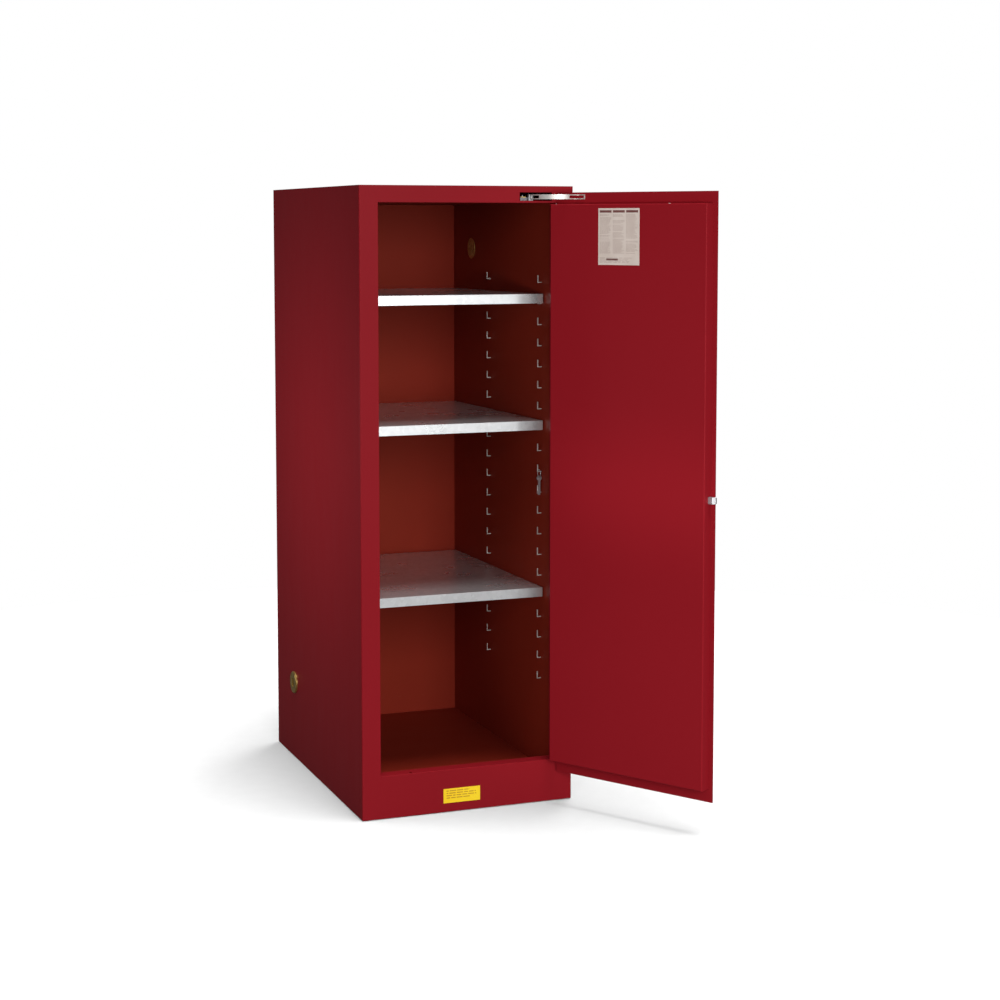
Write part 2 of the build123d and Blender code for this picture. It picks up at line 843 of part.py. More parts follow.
with BuildPart(opened) as handle_plate:
    block(
        (spindle_along - plate_width / 2, skin_face, latch_height - plate_below),
        (spindle_along + plate_width / 2, plate_face, latch_height + plate_above),
    )
    fillet(handle_plate.edges().filter_by(Axis(opened.origin, opened.y_dir)), plate_width / 4)
    for z, radius in ((latch_height, spindle_radius), (latch_height + lock_above, lock_radius)):
        hole((spindle_along, skin_face, z), (spindle_along, plate_face, z), radius + spindle_gap)
save(handle_plate, "handle_plate")

lever_back = plate_face + lever_stand_off

with BuildPart(opened) as handle:
    block(
        (spindle_along, lever_back, latch_height - lever_height / 2),
        (spindle_along + lever_length, lever_back + lever_thickness, latch_height + lever_height / 2),
    )
    lever_end = handle.faces().sort_by(Axis(opened.origin, opened.x_dir))[-1]
    fillet(lever_end.edges().filter_by(Axis(opened.origin, opened.y_dir)), 0.45 * lever_height)
    bar(
        (spindle_along, plate_face + spindle_gap, latch_height),
        (spindle_along, lever_back + lever_thickness, latch_height),
        hub_radius,
    )
    outer_rim = handle.faces().sort_by(Axis(opened.origin, opened.y_dir))[-1]
    fillet(outer_rim.edges(), lever_thickness / 4)
    bar(
        (spindle_along, cam_level, latch_height),
        (spindle_along, plate_face + cut_past, latch_height),
        spindle_radius,
    )
save(handle, "handle")

with BuildPart(opened) as latch_cam:
    bar(
        (spindle_along, cam_level - cam_thickness, latch_height),
        (spindle_along, cam_level, latch_height),
        cam_radius,
    )
    for sign in (1, -1):
        pin_x = spindle_along - sign * crank_side
        pin_z = latch_height - sign * crank_side
        pin_end = cam_level - cam_thickness - pin_reach
        bar((pin_x, pin_end, pin_z), (pin_x, cam_level, pin_z), crank_pin_radius)
save(latch_cam, "latch_cam")

with BuildPart(opened) as lock_cylinder:
    z = latch_height + lock_above
    bar((spindle_along, -lock_depth, z), (spindle_along, plate_face + lock_proud, z), lock_radius)
    block(
        (spindle_along - tongue_width / 2, -lock_depth - tongue_thickness, z - tongue_width / 2),
        (spindle_along + tongue_length, -lock_depth, z + tongue_width / 2),
    )
    # the keyway
    block(
        (spindle_along - keyway_width / 2, plate_face, z - lock_radius / 2),
        (spindle_along + keyway_width / 2, plate_face + lock_proud + cut_past, z + lock_radius / 2),
        mode=Mode.SUBTRACT,
    )
save(lock_cylinder, "lock_cylinder")

# ---------------------------------------------------------------- closer
arm_inner = arm_radius - arm_thickness / 2
arm_outer = arm_radius + arm_thickness / 2
window_bottom = arm_bottom + (arm_height - arm_window_height) / 2
foot_start = arm_inner
foot_end = arm_radius + arm_foot

with BuildPart(opened) as closer_arm:
    with BuildSketch(opened.offset(arm_bottom)):
        with BuildLine():
            outer = CenterArc((0, 0), arm_outer, -arm_sweep - arm_root_angle, arm_sweep)
            inner = CenterArc((0, 0), arm_inner, -arm_sweep - arm_root_angle, arm_sweep)
            Line(outer @ 0, inner @ 0)
            Line(outer @ 1, inner @ 1)
        make_face()
    extrude(amount=arm_height)
    block((foot_start, rim_back - arm_thickness, arm_bottom), (foot_end, rim_back, arm_bottom + arm_height))
    block((foot_start, -arm_root, arm_bottom), (arm_outer, rim_back, arm_bottom + arm_height))
    # one window near the tip, and one that runs from the curve into the foot
    block(
        (arm_inner - cut_past, rim_back - 2 * arm_thickness, window_bottom),
        (foot_end - arm_border, rim_back, window_bottom + arm_window_height),
        mode=Mode.SUBTRACT,
    )
    tip_window = arm_tip_angle - arm_sweep - arm_root_angle
    root_window_turn = arm_root_window_angle + arm_root_angle
    for start, turn in ((tip_window, arm_tip_window_angle), (-root_window_turn, root_window_turn)):
        with BuildSketch(opened.offset(window_bottom)):
            with BuildLine():
                outer = CenterArc((0, 0), arm_outer + cut_past, start, turn)
                inner = CenterArc((0, 0), arm_inner - cut_past, start, turn)
                Line(outer @ 0, inner @ 0)
                Line(outer @ 1, inner @ 1)
            make_face()
        extrude(amount=arm_window_height, mode=Mode.SUBTRACT)
save(closer_arm, "closer_arm")

shoe_inner = arm_inner - shoe_gap - shoe_jaw
shoe_outer = arm_outer + shoe_gap + shoe_jaw
shoe_top = arm_bottom + arm_height + shoe_gap
ear_x = hinge_x - arm_outer - shoe_gap - shoe_ear
ear_y = hinge_y + shoe_outer * sin(radians(shoe_start)) - shoe_ear_depth
hook_z = ceiling + anchor_height / 2
spring_x = ear_x + link_width / 2

with BuildPart() as closer_shoe:
    with BuildSketch(Plane((hinge_x, hinge_y, ceiling))):
        with BuildLine():
            outer = CenterArc((0, 0), shoe_outer, shoe_start, shoe_end - shoe_start)
            inner = CenterArc((0, 0), shoe_inner, shoe_start, shoe_end - shoe_start)
            Line(outer @ 0, inner @ 0)
            Line(outer @ 1, inner @ 1)
        make_face()
    extrude(amount=shoe_top - ceiling)
    with BuildSketch(Plane((hinge_x, hinge_y, arm_bottom - shoe_gap))):
        with BuildLine():
            start = shoe_start - shoe_slot_past
            turn = shoe_end + shoe_slot_past - start
            outer = CenterArc((0, 0), arm_outer + shoe_gap, start, turn)
            inner = CenterArc((0, 0), arm_inner - shoe_gap, start, turn)
            Line(outer @ 0, inner @ 0)
            Line(outer @ 1, inner @ 1)
        make_face()
    extrude(amount=arm_height + 3 * shoe_gap, mode=Mode.SUBTRACT)
    ear_end = hinge_x + (shoe_outer - shoe_jaw / 2) * cos(radians(shoe_end))
    block((ear_x, ear_y, ceiling), (ear_end, ear_y + shoe_ear_depth / 2, hook_z))
    pin_y = ear_y + hook_pin_inset
    bar((spring_x, pin_y, hook_z), (spring_x, pin_y, hook_z + hook_pin_height), hook_pin_radius)
save(closer_shoe, "closer_shoe")

with BuildPart() as fusible_link:
    block(
        (spring_x - link_width / 2, ear_y - link_end, hook_z),
        (spring_x + link_width / 2, ear_y + link_length, hook_z + link_thickness),
    )
    for y in (pin_y, ear_y + link_length - link_width / 2):
        hole((spring_x, y, hook_z), (spring_x, y, hook_z + link_thickness), link_hole)
save(fusible_link, "fusible_link")

spring_start = ear_y + link_length - link_width / 2
with BuildPart() as closer_spring:
    bar(
        (spring_x, spring_start, hook_z - spring_hook_drop),
        (spring_x, spring_start, hook_z + hook_pin_height),
        hook_pin_radius,
    )
    block(
        (spring_x - spring_hook_half, spring_start - spring_hook_half, hook_z - spring_hook_drop),
        (
            spring_x + spring_hook_half,
            spring_start + link_width,
            hook_z - spring_hook_drop + spring_hook_sheet,
        ),
    )
    start = spring_start + link_width
    bar((spring_x, start, hook_z), (spring_x, start + closer_spring_length, hook_z), closer_spring_radius)
save(closer_spring, "closer_spring")

anchor_y = spring_start + link_width + closer_spring_length

with BuildPart() as closer_anchor:
    block(
        (spring_x - link_width, anchor_y, ceiling + sheet),
        (spring_x + link_width, anchor_y + 2 * sheet, ceiling + anchor_height),
    )
    block(
        (spring_x - link_width, anchor_y, ceiling + sheet),
        (spring_x + link_width, anchor_y + anchor_height, ceiling + 3 * sheet),
    )
save(closer_anchor, "closer_anchor")

# ---------------------------------------------------------------- keys
key_seat = hook_top(shelf_middle_row - key_rows_below_shelf)
ring_x = inner_half - hook_reach + hook_bar + ring_wire + key_gap
ring_y = hook_front_y - ring_forward
ring_z = key_seat - ring_drop

with BuildPart() as key_ring:
    with Locations((ring_x, ring_y, ring_z)):
        Torus(ring_radius, ring_wire, rotation=(0, 90, 0))
save(key_ring, "key_ring")

with BuildPart() as keys:
    hole_z = ring_z - ring_radius
    bow_z = hole_z + key_hole_inset - key_bow_radius
    blade_top = bow_z - key_bow_radius / 2
    blade_half = key_blade[0] / 2
    tip_z = bow_z - key_bow_radius - key_blade[1]
    for i in range(2):
        rear_face = hook_front_y - hook_thickness / 2 - key_gap - i * (key_thickness + key_gap)
        front_face = rear_face - key_thickness
        bar((ring_x, front_face, bow_z), (ring_x, rear_face, bow_z), key_bow_radius)
        block((ring_x - blade_half, front_face, tip_z), (ring_x + blade_half, rear_face, blade_top))
        # the bit's teeth, on one side of the blade
        block(
            (ring_x - blade_half - key_bit[0], front_face, tip_z + key_bit[0]),
            (ring_x - blade_half, rear_face, tip_z + key_bit[0] + key_bit[1]),
        )
        hole((ring_x, front_face, hole_z), (ring_x, rear_face, hole_z), key_hole)
save(keys, "keys")
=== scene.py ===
import json
import random
from math import cos, pi, radians, sin

import bmesh
import bpy
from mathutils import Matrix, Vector


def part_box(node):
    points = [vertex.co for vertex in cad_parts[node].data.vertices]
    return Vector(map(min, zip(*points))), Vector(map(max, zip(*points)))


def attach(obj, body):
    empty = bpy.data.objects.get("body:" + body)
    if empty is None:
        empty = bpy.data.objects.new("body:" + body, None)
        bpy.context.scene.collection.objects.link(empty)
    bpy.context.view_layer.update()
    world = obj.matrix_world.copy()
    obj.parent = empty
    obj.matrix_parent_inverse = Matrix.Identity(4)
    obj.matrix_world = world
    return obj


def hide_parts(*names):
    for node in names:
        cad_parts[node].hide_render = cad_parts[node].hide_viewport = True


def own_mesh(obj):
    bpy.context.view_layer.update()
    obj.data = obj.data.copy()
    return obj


# A flammable storage cabinet with its door open, on a pale floor under soft studio light.
# Metres. X runs to the right along the front, Y to the rear, Z up, and the origin is the
# centre of the base on the floor.

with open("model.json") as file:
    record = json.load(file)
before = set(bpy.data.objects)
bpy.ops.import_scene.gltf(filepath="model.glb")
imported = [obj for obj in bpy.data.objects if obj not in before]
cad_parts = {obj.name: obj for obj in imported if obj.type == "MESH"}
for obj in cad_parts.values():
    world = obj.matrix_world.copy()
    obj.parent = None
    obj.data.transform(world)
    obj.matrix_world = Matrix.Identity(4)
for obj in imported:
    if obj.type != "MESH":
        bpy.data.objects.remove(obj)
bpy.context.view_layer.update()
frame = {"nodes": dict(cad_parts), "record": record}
nodes = frame["nodes"]
record = frame["record"]
joints = {joint["name"]: joint for joint in record["behaviour"]["joints"]}
mm = 0.001


# ---------------------------------------------------------------- places from the frame
def box(node):
    """The lowest and highest corners of a CAD node."""
    low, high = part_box(node)
    return Vector(low), Vector(high)


hinge = Vector(joints["door_hinge"]["pos_m"])
outward = Vector(joints["handle_turn"]["axis"])  # out of the door's outer face
along = Vector((outward.y, -outward.x, 0))  # from the hinge to the door's free edge
up = Vector((0, 0, 1))


def door_point(u, w, z):
    """A point on the open door: u from the hinge pin, w outwards, z above the floor."""
    return Vector((hinge.x, hinge.y, 0)) + along * u + outward * w + up * z


def door_span(node, direction):
    """How far a node's nearest and farthest points are from the hinge pin in a direction."""
    spots = [(vertex.co - hinge).dot(direction) for vertex in nodes[node].data.vertices]
    return min(spots), max(spots)


# ---------------------------------------------------------------- material helpers
def start_material(name, roughness, metallic=0.0, specular=0.5):
    """A new material with its shader, and the object's own coordinates to place textures by."""
    material = bpy.data.materials.new(name)
    material.use_nodes = True
    shader = material.node_tree.nodes["Principled BSDF"]
    shader.inputs["Roughness"].default_value = roughness
    shader.inputs["Metallic"].default_value = metallic
    shader.inputs["Specular IOR Level"].default_value = specular
    coordinates = material.node_tree.nodes.new("ShaderNodeTexCoord")
    return material, shader, coordinates.outputs["Object"]


def linear(red, green, blue):
    """A linear colour from 8-bit sRGB values."""
    levels = []
    for value in (red, green, blue):
        share = value / 255
        levels.append(share / 12.92 if share <= 0.04045 else ((share + 0.055) / 1.055) ** 2.4)
    return (*levels, 1.0)


def noise(material, vector, scale, detail=3.0, roughness=0.5, stretch=(1, 1, 1)):
    """A noise texture's value, its vector stretched along some axes."""
    tree = material.node_tree
    mapping = tree.nodes.new("ShaderNodeMapping")
    mapping.inputs["Scale"].default_value = stretch
    tree.links.new(vector, mapping.inputs["Vector"])
    texture = tree.nodes.new("ShaderNodeTexNoise")
    texture.inputs["Scale"].default_value = scale
    texture.inputs["Detail"].default_value = detail
    texture.inputs["Roughness"].default_value = roughness
    tree.links.new(mapping.outputs["Vector"], texture.inputs["Vector"])
    return texture.outputs["Fac"]


def ramp(material, value, stops):
    """A colour ramp over a value: stops are (place, colour) pairs."""
    node = material.node_tree.nodes.new("ShaderNodeValToRGB")
    elements = node.color_ramp.elements
    while len(elements) < len(stops):
        elements.new(0.5)
    for element, (place, colour) in zip(elements, stops):
        element.position = place
        element.color = colour
    material.node_tree.links.new(value, node.inputs["Fac"])
    return node.outputs["Color"]


def remap(material, value, old, new):
    """A value moved from its old range to a new one, and held inside it."""
    node = material.node_tree.nodes.new("ShaderNodeMapRange")
    for socket, number in zip(("From Min", "From Max", "To Min", "To Max"), (*old, *new)):
        node.inputs[socket].default_value = number
    material.node_tree.links.new(value, node.inputs["Value"])
    return node.outputs["Result"]


def mix(material, share, first, second):
    """Two colours mixed by a share; each may be a socket or a colour."""
    node = material.node_tree.nodes.new("ShaderNodeMix")
    node.data_type = "RGBA"
    share_in, first_in, second_in = node.inputs[0], node.inputs[6], node.inputs[7]
    for socket, source in ((share_in, share), (first_in, first), (second_in, second)):
        if isinstance(source, bpy.types.NodeSocket):
            material.node_tree.links.new(source, socket)
        else:
            socket.default_value = source
    colour_out = node.outputs[2]
    return colour_out


def bump(material, shader, height, strength, distance):
    """Raises the surface by a height value."""
    node = material.node_tree.nodes.new("ShaderNodeBump")
    node.inputs["Strength"].default_value = strength
    node.inputs["Distance"].default_value = distance
    material.node_tree.links.new(height, node.inputs["Height"])
    material.node_tree.links.new(node.outputs["Normal"], shader.inputs["Normal"])


def edge_mask(material, radius):
    """How much a point lies on a convex or concave edge, from 0 to 1."""
    flat, edge = 0.98, 0.8  # how well the rounded normal agrees with the plain one
    tree = material.node_tree
    rounded = tree.nodes.new("ShaderNodeBevel")
    rounded.samples = 4
    rounded.inputs["Radius"].default_value = radius
    plain = tree.nodes.new("ShaderNodeNewGeometry")
    product = tree.nodes.new("ShaderNodeVectorMath")
    product.operation = "DOT_PRODUCT"
    tree.links.new(rounded.outputs["Normal"], product.inputs[0])
    tree.links.new(plain.outputs["Normal"], product.inputs[1])
    return remap(material, product.outputs["Value"], (flat, edge), (0.0, 1.0))


# ---------------------------------------------------------------- materials
def powder_coat(name, dark, light, worn, roughness):
    """Baked powder paint: a slow change of tone, faint orange peel, and edges rubbed lighter."""
    material, shader, place = start_material(name, roughness, specular=0.05)
    links = material.node_tree.links

    clouds = noise(material, place, scale=2.2, detail=2.0)
    tone = ramp(material, clouds, ((0.2, dark), (0.8, light)))
    scratches = noise(material, place, scale=60, detail=5.0, roughness=0.7)
    scuffs = remap(material, scratches, (0.5, 0.75), (0.0, 1.0))
    wear = material.node_tree.nodes.new("ShaderNodeMath")
    wear.operation = "MULTIPLY"
    links.new(edge_mask(material, 1.2 * mm), wear.inputs[0])
    links.new(scuffs, wear.inputs[1])
    links.new(mix(material, wear.outputs[0], tone, worn), shader.inputs["Base Color"])

    smears = noise(material, place, scale=14, detail=4.0, roughness=0.6, stretch=(1, 1, 0.35))
    gloss = remap(material, smears, (0.3, 0.7), (roughness - 0.015, roughness + 0.02))
    links.new(gloss, shader.inputs["Roughness"])

    orange_peel = noise(material, place, scale=420, detail=2.0)
    bump(material, shader, orange_peel, strength=0.16, distance=0.4 * mm)
    return material


def galvanised():
    """Zinc-dipped sheet with faint spangles and soft clouds."""
    material, shader, place = start_material("galvanised_sheet", 0.3, metallic=0.74)
    tree = material.node_tree

    spangle = tree.nodes.new("ShaderNodeTexVoronoi")
    spangle.inputs["Scale"].default_value = 95
    tree.links.new(place, spangle.inputs["Vector"])
    tone = ramp(
        material,
        spangle.outputs["Color"],
        ((0.0, linear(218, 220, 221)), (0.5, linear(226, 228, 229)), (1.0, linear(234, 236, 237))),
    )
    cloud = noise(material, place, scale=7)
    dulling = remap(material, cloud, (0.4, 0.8), (0.0, 0.25))
    colour = mix(material, dulling, tone, linear(206, 208, 210))
    tree.links.new(colour, shader.inputs["Base Color"])

    gloss = remap(material, cloud, (0.3, 0.7), (0.25, 0.34))
    tree.links.new(gloss, shader.inputs["Roughness"])

    ripple = noise(material, place, scale=40, detail=2.0)
    bump(material, shader, ripple, strength=0.05, distance=0.3 * mm)
    return material


def plated(name, colour, stain, roughness, metallic=1.0):
    """A plated or bare metal with fine grain and faint stains."""
    material, shader, place = start_material(name, roughness, metallic=metallic)
    links = material.node_tree.links

    blotches = noise(material, place, scale=38, detail=5.0, roughness=0.65)
    stains = remap(material, blotches, (0.42, 0.7), (0.0, 1.0))
    links.new(mix(material, stains, colour, stain), shader.inputs["Base Color"])

    grain = noise(material, place, scale=900, detail=2.0)
    gloss = remap(material, grain, (0.3, 0.7), (roughness - 0.07, roughness + 0.09))
    links.new(gloss, shader.inputs["Roughness"])
    bump(material, shader, grain, strength=0.1, distance=0.15 * mm)
    return material


def brass():
    """Cast brass, dulled to olive in patches and rubbed bright on its edges."""
    material, shader, place = start_material("aged_brass", 0.36, metallic=0.8)
    links = material.node_tree.links

    tarnish = noise(material, place, scale=70, detail=5.0, roughness=0.6)
    base = ramp(
        material,
        tarnish,
        ((0.3, linear(146, 124, 68)), (0.55, linear(188, 159, 92)), (0.8, linear(218, 188, 120))),
    )
    rubbed = linear(214, 188, 122)
    colour = mix(material, edge_mask(material, 1.5 * mm), base, rubbed)
    links.new(colour, shader.inputs["Base Color"])

    gloss = remap(material, tarnish, (0.3, 0.7), (0.5, 0.28))
    links.new(gloss, shader.inputs["Roughness"])

    cast_grain = noise(material, place, scale=500)
    bump(material, shader, cast_grain, strength=0.2, distance=0.3 * mm)
    return material


def moulded(name, dark, light, roughness, grain=600, depth=0.25):
    """Rubber, plastic or printed vinyl: two close tones and a fine grain."""
    material, shader, place = start_material(name, roughness)
    clouds = noise(material, place, scale=24, detail=4.0)
    tone = ramp(material, clouds, ((0.3, dark), (0.7, light)))
    material.node_tree.links.new(tone, shader.inputs["Base Color"])
    fine = noise(material, place, scale=grain)
    bump(material, shader, fine, strength=depth, distance=0.2 * mm)
    return material


def vinyl(name, dark, light, roughness):
    """The smooth face of a printed label."""
    return moulded(name, dark, light, roughness, grain=260, depth=0.1)


def ink(name, dark, light, roughness):
    """Flat printing ink on a label."""
    return moulded(name, dark, light, roughness, grain=300, depth=0.1)


finishes = {
    "red_paint": powder_coat(
        "red_paint",
        dark=linear(136, 22, 31),
        light=linear(139, 24, 33),
        worn=linear(165, 70, 72),
        roughness=0.4,
    ),
    "liner_paint": powder_coat(
        "liner_paint",
        dark=linear(134, 41, 27),
        light=linear(141, 45, 30),
        worn=linear(160, 88, 68),
        roughness=0.45,
    ),
    "hinge_paint": powder_coat(
        "hinge_paint",
        dark=linear(112, 22, 28),
        light=linear(122, 26, 32),
        worn=linear(150, 90, 88),
        roughness=0.38,
    ),
    "galvanized_steel": galvanised(),
    "zinc_plate": plated(
        "zinc_plate",
        colour=linear(216, 212, 208),
        stain=linear(188, 182, 176),
        roughness=0.36,
        metallic=0.45,
    ),
    "bright_steel": plated(
        "bright_steel",
        colour=linear(190, 190, 194),
        stain=linear(152, 149, 148),
        roughness=0.36,
        metallic=0.75,
    ),
    # Dark grey steel for the wound springs. On the closer shoe and its link, which the record also gives
    # this finish, the darker grey is painted shade inside the header.
    "spring_steel": plated(
        "spring_steel",
        colour=linear(120, 120, 122),
        stain=linear(84, 80, 76),
        roughness=0.38,
    ),
    "chrome_trim": plated(
        "chrome_trim",
        colour=linear(232, 232, 234),
        stain=linear(218, 218, 221),
        roughness=0.16,
        metallic=0.8,
    ),
    "brass": brass(),
    "foot_rubber": moulded("foot_rubber", linear(26, 25, 25), linear(40, 39, 38), 0.75),
    "yellow_label": vinyl("yellow_label", linear(253, 212, 18), linear(255, 222, 32), 0.38),
    "white_label": vinyl("white_label", linear(208, 194, 184), linear(218, 205, 196), 0.42),
    "yellow_label_ink": ink("amber_ink", linear(196, 146, 18), linear(206, 158, 26), 0.45),
    "white_label_ink": ink("grey_ink", linear(176, 156, 148), linear(188, 170, 160), 0.5),
    "white_label_bar": ink("brown_ink", linear(104, 62, 60), linear(120, 76, 72), 0.5),
}

for part in record["subparts"]:
    for material_slot in nodes[part["node"]].material_slots:
        material_slot.material = finishes[part["material_slot"]]


# ---------------------------------------------------------------- mesh helpers
def new_piece(name, mesh, body, slot, finish=None):
    """A visual piece that rides on a CAD body."""
    piece = bpy.data.objects.new(name, mesh)
    bpy.context.collection.objects.link(piece)
    mesh.materials.append(finishes[finish or slot])
    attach(piece, body)
    return piece


def slab_mesh(name, slabs, thickness, place):
    """Thin closed plates: each is (u0, u1, v0, v1), and place turns (u, v, t) into a point."""
    mesh = bpy.data.meshes.new(name)
    work = bmesh.new()
    for u0, u1, v0, v1 in slabs:
        corners = [
            work.verts.new(place(u, v, t))
            for t in (0.0, thickness)
            for u, v in ((u0, v0), (u1, v0), (u1, v1), (u0, v1))
        ]
        back, front = corners[:4], corners[4:]
        work.faces.new(back)
        work.faces.new(front)
        for i in range(4):
            j = (i + 1) % 4
            work.faces.new((back[i], back[j], front[j], front[i]))
    bmesh.ops.recalc_face_normals(work, faces=work.faces)
    work.to_mesh(mesh)
    work.free()
    return mesh


def tube_mesh(name, points, radius, sides=10):
    """A closed round wire along a list of points."""
    mesh = bpy.data.meshes.new(name)
    work = bmesh.new()
    angles = [2 * pi * k / sides for k in range(sides)]
    rings = []
    side = None
    for i, point in enumerate(points):
        ahead = points[min(i + 1, len(points) - 1)] - points[max(i - 1, 0)]
        ahead.normalize()
        side = ahead.orthogonal() if side is None else side - ahead * side.dot(ahead)
        side.normalize()
        across = ahead.cross(side)
        rings.append([
            work.verts.new(point + radius * (cos(angle) * side + sin(angle) * across))
            for angle in angles
        ])
    for first, second in zip(rings, rings[1:]):
        for i in range(sides):
            j = (i + 1) % sides
            work.faces.new((first[i], first[j], second[j], second[i]))
    work.faces.new(rings[0])
    work.faces.new(rings[-1])
    bmesh.ops.recalc_face_normals(work, faces=work.faces)
    for face in work.faces:
        face.smooth = len(face.verts) == 4
    work.to_mesh(mesh)
    work.free()
    return mesh


def helix(start, end, radius, turns, steps=20, closing=0.35):
    """Points of a coil between two points, with its two end turns closed up."""
    axis = end - start
    direction = axis.normalized()
    side = direction.orthogonal().normalized()
    across = direction.cross(side)
    count = round(turns * steps)
    points = []
    for i in range(count + 1):
        share = i / count
        eased = share - closing * sin(2 * pi * share) / turns
        angle = 2 * pi * turns * share
        points.append(start + axis * eased + radius * (cos(angle) * side + sin(angle) * across))
    return points


# ---------------------------------------------------------------- springs
def latch_spring():
    """Wound wire behind the latch bolt, in place of the plain spring."""
    wire = 0.9 * mm
    low_u, high_u = door_span("latch_spring", along)
    low_w, high_w = door_span("latch_spring", outward)
    low, high = box("latch_spring")
    middle_w, middle_z = (low_w + high_w) / 2, (low.z + high.z) / 2
    start = door_point(low_u + wire, middle_w, middle_z)
    end = door_point(high_u - wire, middle_w, middle_z)
    coil_radius = (high.z - low.z) / 2 - wire
    mesh = tube_mesh("latch_spring_coil", helix(start, end, coil_radius, turns=9), wire)
    coil = new_piece("latch_spring_coil", mesh, "door", "spring_steel")
    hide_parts("latch_spring")
    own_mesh(coil)


def closer_spring():
    """Wound wire in the header, in place of the plain spring, with a hook through the fusible link."""
    wire = 1.1 * mm
    hook_reach = 7 * mm  # into the link, from the end nearer the coil
    hook_drop, hook_rise = 3 * mm, 5 * mm  # below and above the coil's axis
    hook_bend = 5 * mm  # from the hook's straight top to the first turn
    link_to_coil, coil_to_end = 9 * mm, 6 * mm
    tail = 3 * mm
    low, high = box("closer_spring")
    link_end = box("fusible_link")[1].y
    coil_radius = (high.x - low.x) / 2 - wire
    x, z = (low.x + high.x) / 2, high.z - coil_radius - wire
    front, rear = link_end + link_to_coil, high.y - coil_to_end
    points = [
        Vector((x, link_end - hook_reach, z - hook_drop)),
        Vector((x, link_end - hook_reach, z + hook_rise)),
        Vector((x, front - hook_bend, z + hook_rise)),
    ]
    points += helix(Vector((x, front, z)), Vector((x, rear, z)), coil_radius, turns=34)
    points += [Vector((x, rear + tail, z)), Vector((x, high.y, z))]
    mesh = tube_mesh("closer_spring_coil", points, wire)
    coil = new_piece("closer_spring_coil", mesh, "cabinet", "spring_steel")
    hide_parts("closer_spring")


# ---------------------------------------------------------------- labels
print_depth = 0.06 * mm


def printed_lines(rng, left, right, top, bottom, line, gap, ragged):
    """Rows of plain dashes of uneven length, as small print looks from a distance."""
    left_out = 0.12  # share of the rows
    shortest, longest, space = 0.06, 0.22, 0.03  # of a dash, and between dashes, in row widths
    rows = []
    level = top
    while level - line > bottom:
        if rng.random() > left_out:
            end = right - rng.random() * ragged * (right - left)
            spot = left
            while spot < end:
                dash = min(rng.uniform(shortest, longest) * (right - left), end - spot)
                rows.append((spot, spot + dash, level - line, level))
                spot += dash + space * (right - left)
        level -= line + gap
    return rows


def print_door_label(rng):
    """Three headed columns of small print, a short bar and a few lines below: no words."""
    low_u, high_u = door_span("door_label", along)
    face_w = door_span("door_label", outward)[0]
    low, high = box("door_label")
    width, height = high_u - low_u, high.z - low.z
    margin = 0.035 * width
    top = high.z - 0.035 * height
    heading = 0.042 * height
    line = 0.008 * height

    def on_door(u, v, t):
        return door_point(u, face_w - t, v)

    columns = 3
    column = (width - (columns + 1) * margin) / columns
    bars, lines = [], []
    for i in range(columns):
        left = low_u + margin + i * (column + margin)
        right = left + column
        bars.append((left, right, top - heading, top))
        lines += printed_lines(
            rng,
            left,
            right,
            top=top - 0.075 * height,
            bottom=low.z + 0.2 * height,
            line=line,
            gap=0.0085 * height,
            ragged=0.3,
        )
    lines += printed_lines(
        rng,
        low_u + margin,
        high_u - margin,
        top=low.z + 0.13 * height,
        bottom=low.z + 0.03 * height,
        line=line,
        gap=0.012 * height,
        ragged=0.5,
    )
    bars.append((low_u + 0.2 * width, low_u + 0.48 * width, low.z + 0.08 * height, low.z + 0.115 * height))

    bars_mesh = slab_mesh("door_label_bars", bars, print_depth, on_door)
    new_piece("door_label_bars", bars_mesh, "door", "white_label", "white_label_bar")
    lines_mesh = slab_mesh("door_label_lines", lines, print_depth, on_door)
    new_piece("door_label_lines", lines_mesh, "door", "white_label", "white_label_ink")


def print_base_label(rng):
    """A few rows of dashes on the yellow label of the sill: no words."""
    low, high = box("base_label")
    width, height = high.x - low.x, high.z - low.z

    def on_base(u, v, t):
        return Vector((u, low.y - t, v))

    lines = printed_lines(
        rng,
        low.x + 0.08 * width,
        high.x - 0.08 * width,
        top=high.z - 0.12 * height,
        bottom=low.z + 0.1 * height,
        line=0.075 * height,
        gap=0.09 * height,
        ragged=0.3,
    )
    mesh = slab_mesh("base_label_lines", lines, print_depth, on_base)
    new_piece("base_label_lines", mesh, "cabinet", "yellow_label", "yellow_label_ink")


latch_spring()
closer_spring()
print_choices = random.Random(12)
print_door_label(print_choices)
print_base_label(print_choices)


# ---------------------------------------------------------------- floor, light and camera
def floor(name, level, tone, seen):
    """A round floor: one that the camera sees, or one that only lights the object."""
    mesh = bpy.data.meshes.new(name)
    work = bmesh.new()
    bmesh.ops.create_circle(work, cap_ends=True, radius=3.2, segments=96)
    bmesh.ops.translate(work, verts=work.verts, vec=(0, -0.3, level))
    work.to_mesh(mesh)
    work.free()
    disc = bpy.data.objects.new(name, mesh)
    bpy.context.collection.objects.link(disc)
    darker = tone - 2
    dark, light = linear(darker, darker, darker), linear(tone, tone, tone)
    mesh.materials.append(moulded(name, dark, light, roughness=0.9, grain=40, depth=0.02))
    disc.visible_camera = seen
    disc.visible_shadow = seen
    disc.visible_diffuse = not seen
    disc.visible_glossy = False


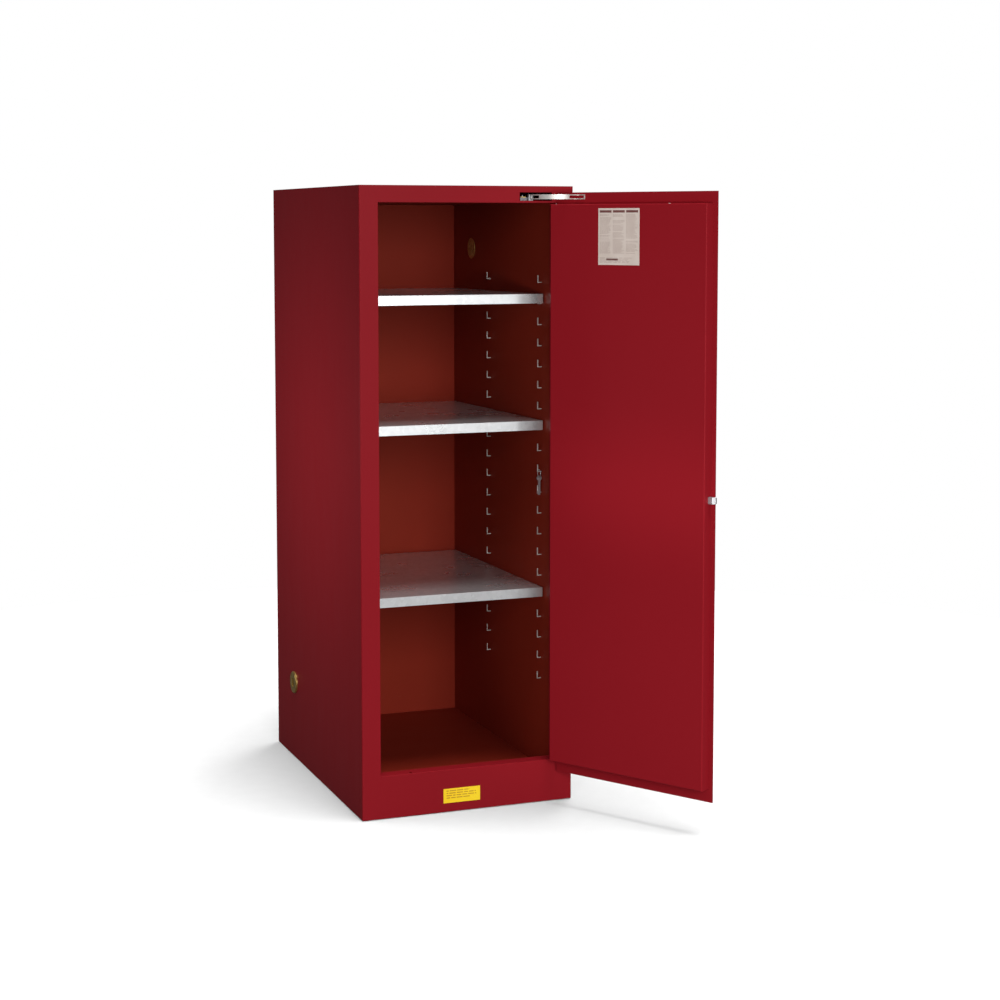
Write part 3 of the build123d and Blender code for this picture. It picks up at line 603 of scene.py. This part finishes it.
def surround():
    """White where the camera looks past the object, and much dimmer as a light."""
    white = (1, 1, 1, 1)
    world = bpy.data.worlds.new("studio")
    bpy.context.scene.world = world
    world.use_nodes = True
    tree = world.node_tree
    lit = tree.nodes["Background"]
    lit.inputs["Color"].default_value = white
    lit.inputs["Strength"].default_value = 0.09
    seen = tree.nodes.new("ShaderNodeBackground")
    seen.inputs["Color"].default_value = white
    seen.inputs["Strength"].default_value = 1.0
    path = tree.nodes.new("ShaderNodeLightPath")
    choice = tree.nodes.new("ShaderNodeMixShader")
    tree.links.new(path.outputs["Is Camera Ray"], choice.inputs[0])
    tree.links.new(lit.outputs[0], choice.inputs[1])
    tree.links.new(seen.outputs[0], choice.inputs[2])
    tree.links.new(choice.outputs[0], tree.nodes["World Output"].inputs["Surface"])


def lamp(light, place, towards):
    """Hangs a light in the scene, facing a direction."""
    holder = bpy.data.objects.new(light.name, light)
    holder.location = place
    holder.rotation_euler = towards.to_track_quat("-Z", "Y").to_euler()
    bpy.context.collection.objects.link(holder)
    return holder


def panel(name, place, target, size, watts):
    """A soft rectangular light that the camera doesn't see."""
    light = bpy.data.lights.new(name, "AREA")
    light.shape = "RECTANGLE"
    light.size, light.size_y = size
    light.energy = watts
    holder = lamp(light, place, Vector(target) - Vector(place))
    holder.visible_camera = False


def door_spot(name, height):
    """A narrow light on one height of the open door's inner face."""
    light = bpy.data.lights.new(name, "SPOT")
    light.energy = 106
    light.spot_size = radians(20)
    light.spot_blend = 0.5
    light.shadow_soft_size = 0.12
    place = Vector((-1.9, -3.4, 1.0))
    middle_of_door = 0.33
    lamp(light, place, door_point(middle_of_door, 0, height) - place)


def sky():
    """Wide soft light from above."""
    light = bpy.data.lights.new("sky", "SUN")
    light.energy = 3.6
    light.angle = radians(40)
    holder = bpy.data.objects.new("sky", light)
    holder.rotation_euler = (radians(8), radians(5), 0)
    bpy.context.collection.objects.link(holder)


def camera():
    """The camera looks at the left front corner from just under the height of the top."""
    tilt, turn = 85, -20.98  # degrees from straight down, and about the vertical
    data = bpy.data.cameras.new("camera")
    data.sensor_width = 36
    data.lens = 71.1
    data.shift_y = -0.1035
    view = bpy.data.objects.new("camera", data)
    view.location = (-1.7635, -5.2616, 1.5525)
    view.rotation_euler = (radians(tilt), 0, radians(turn))
    bpy.context.collection.objects.link(view)
    bpy.context.scene.camera = view


# the camera sees the pale floor, and the object is lit by a greyer one that lies on it
floor("floor", level=-2.0 * mm, tone=243, seen=True)
floor("floor_bounce", level=-0.5 * mm, tone=125, seen=False)
surround()
panel("key", place=(-0.6, -6.6, 1.9), target=(0.1, -0.4, 0.8), size=(2.8, 2.8), watts=235)
panel("side", place=(-1.15, 0.0, 0.95), target=(-0.3, 0.0, 0.95), size=(0.5, 0.3), watts=4.2)
panel("rear", place=(3.2, 3.4, 2.0), target=(0.1, 0.0, 0.8), size=(2.4, 2.4), watts=120)
panel("card", place=(1.5, -6.2, 1.5), target=(0.0, -0.4, 0.9), size=(1.8, 2.8), watts=30)
door_spot("door_fill_low", height=0.46)
door_spot("door_fill_high", height=1.28)
sky()
camera()
bpy.context.scene.view_settings.view_transform = "Standard"
